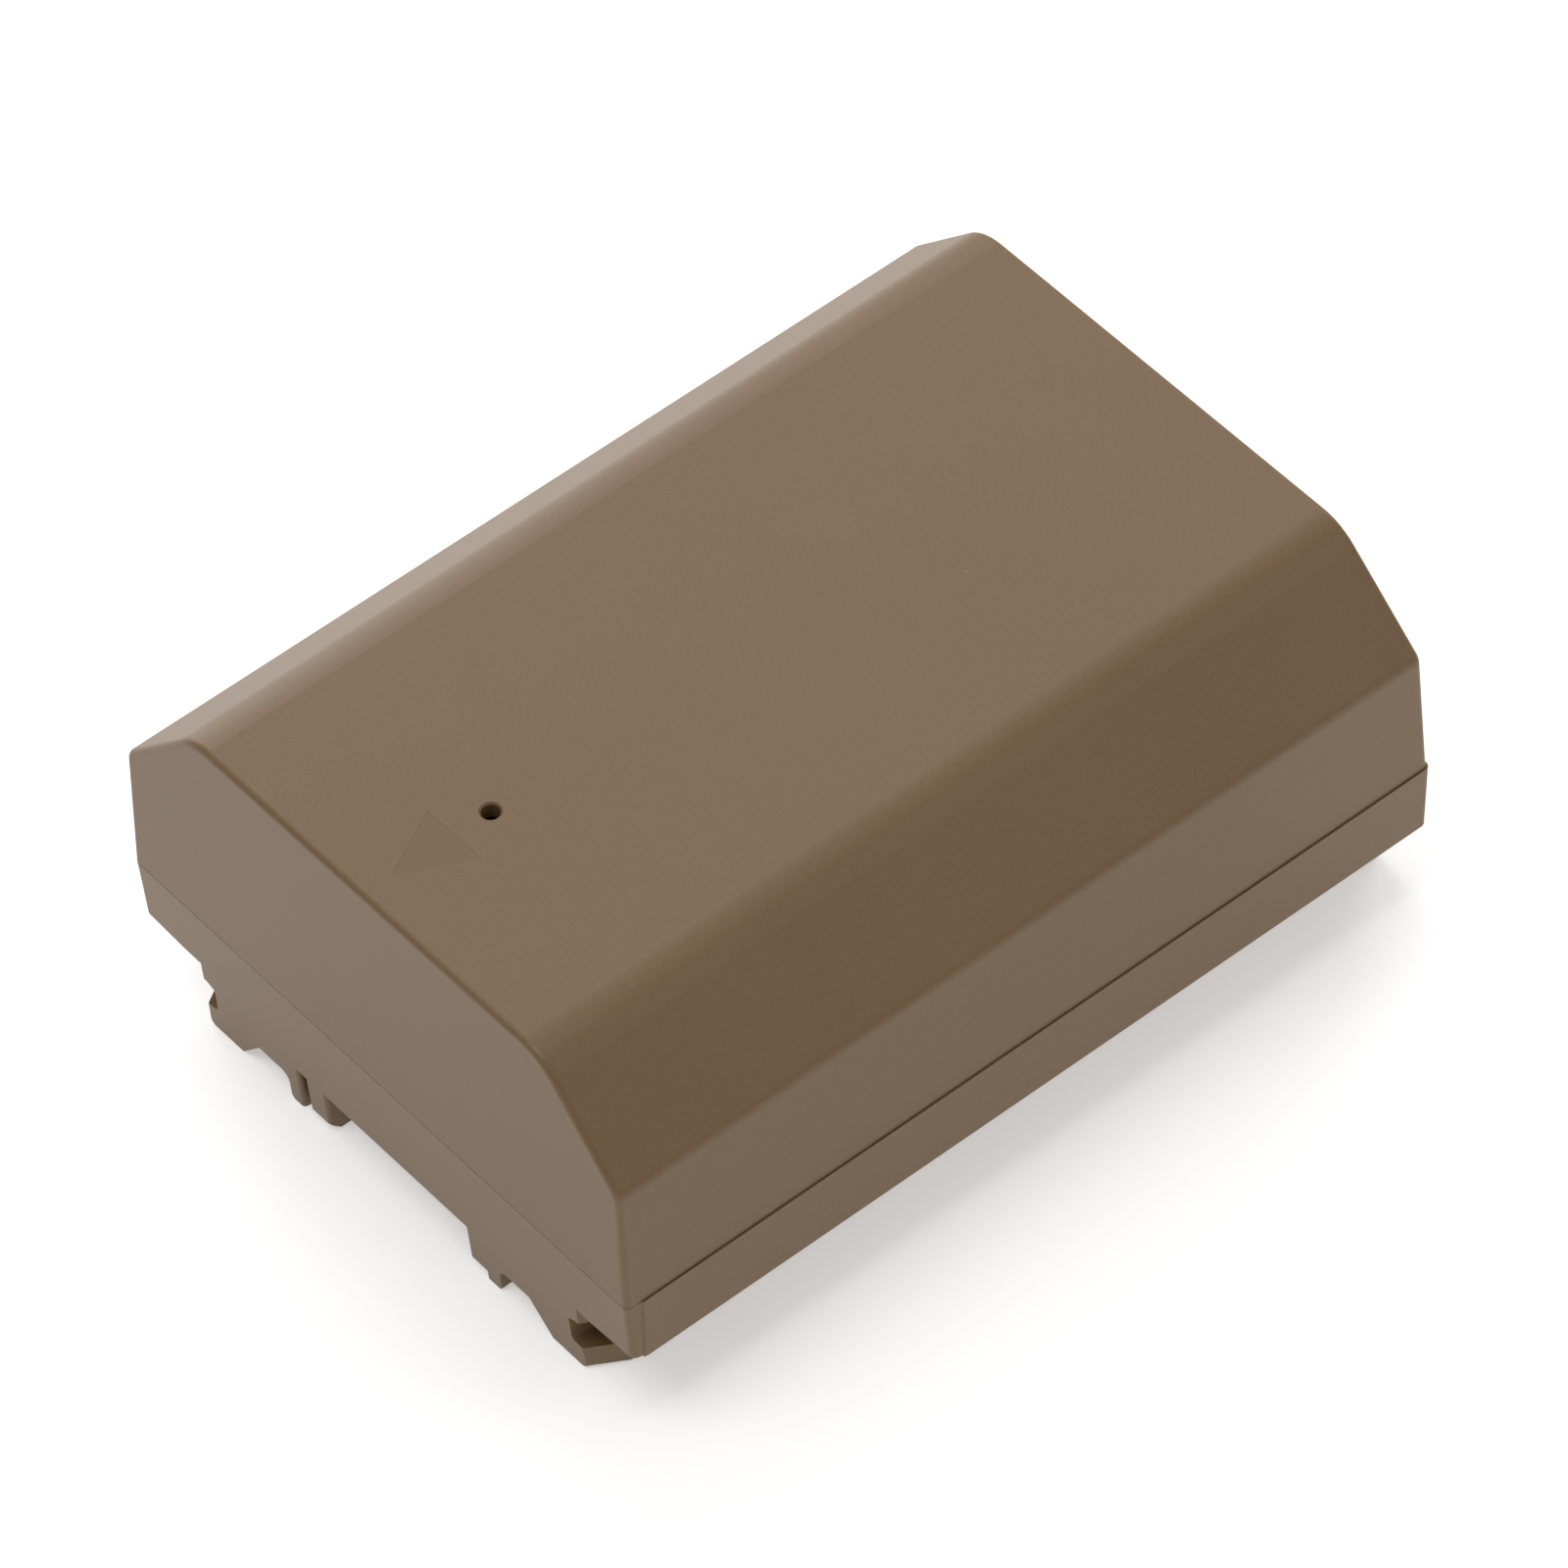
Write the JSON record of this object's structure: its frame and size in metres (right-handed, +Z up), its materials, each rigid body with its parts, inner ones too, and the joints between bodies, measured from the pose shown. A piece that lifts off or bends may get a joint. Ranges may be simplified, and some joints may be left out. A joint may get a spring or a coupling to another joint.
{
  "type": "camera battery",
  "caption": "Rechargeable camera battery pack with chamfered shoulders, a stepped base, hook grooves and slotted contacts at one end.",
  "frame": {"origin": "centre of the bottom of the pack's box, in the plane of the base's flat underside", "axes": "+X across the width, +Y along the length away from the contact end, +Z up through the flat top"},
  "size_m": [0.0386, 0.0516, 0.0227],
  "materials": {
    "case": "fine moulded texture, brown-taupe",
    "can_steel": "nickel-plated",
    "sleeve": "shrink film",
    "card": "electrical paper",
    "nickel": "nickel strip",
    "wire": "insulated wire",
    "adhesive": "soft adhesive pad",
    "board": "solder mask",
    "chip": "moulded package",
    "ceramic_body": "fired",
    "bead": "epoxy bead",
    "contact": "gold-plated spring bronze",
    "label": "blank film label"
  },
  "bodies": {
    "root": {"adhesive_left": "adhesive", "adhesive_right": "adhesive", "board_sheet": "card", "capacitor_1": "ceramic_body", "capacitor_2": "ceramic_body", "capacitor_3": "ceramic_body", "capacitor_4": "ceramic_body", "cell_left": "can_steel", "cell_right": "can_steel", "chip_fuse": "ceramic_body", "contact_clip_1": "contact", "contact_clip_2": "contact", "contact_clip_3": "contact", "contact_clip_4": "contact", "front_card": "card", "gauge_chip": "chip", "lower_case": "case", "midpoint_wire": "wire", "negative_tab": "nickel", "positive_tab": "nickel", "protection_board": "board", "protection_chip": "chip", "rating_label": "label", "rear_card": "card", "resistor_1": "chip", "resistor_2": "chip", "resistor_3": "chip", "resistor_4": "chip", "series_strap": "nickel", "shunt_resistor": "chip", "sleeve_left": "sleeve", "sleeve_right": "sleeve", "switch_chip": "chip", "thermistor": "bead", "upper_case": "case", "washer_left": "card", "washer_right": "card"}
  },
  "joints": []
}
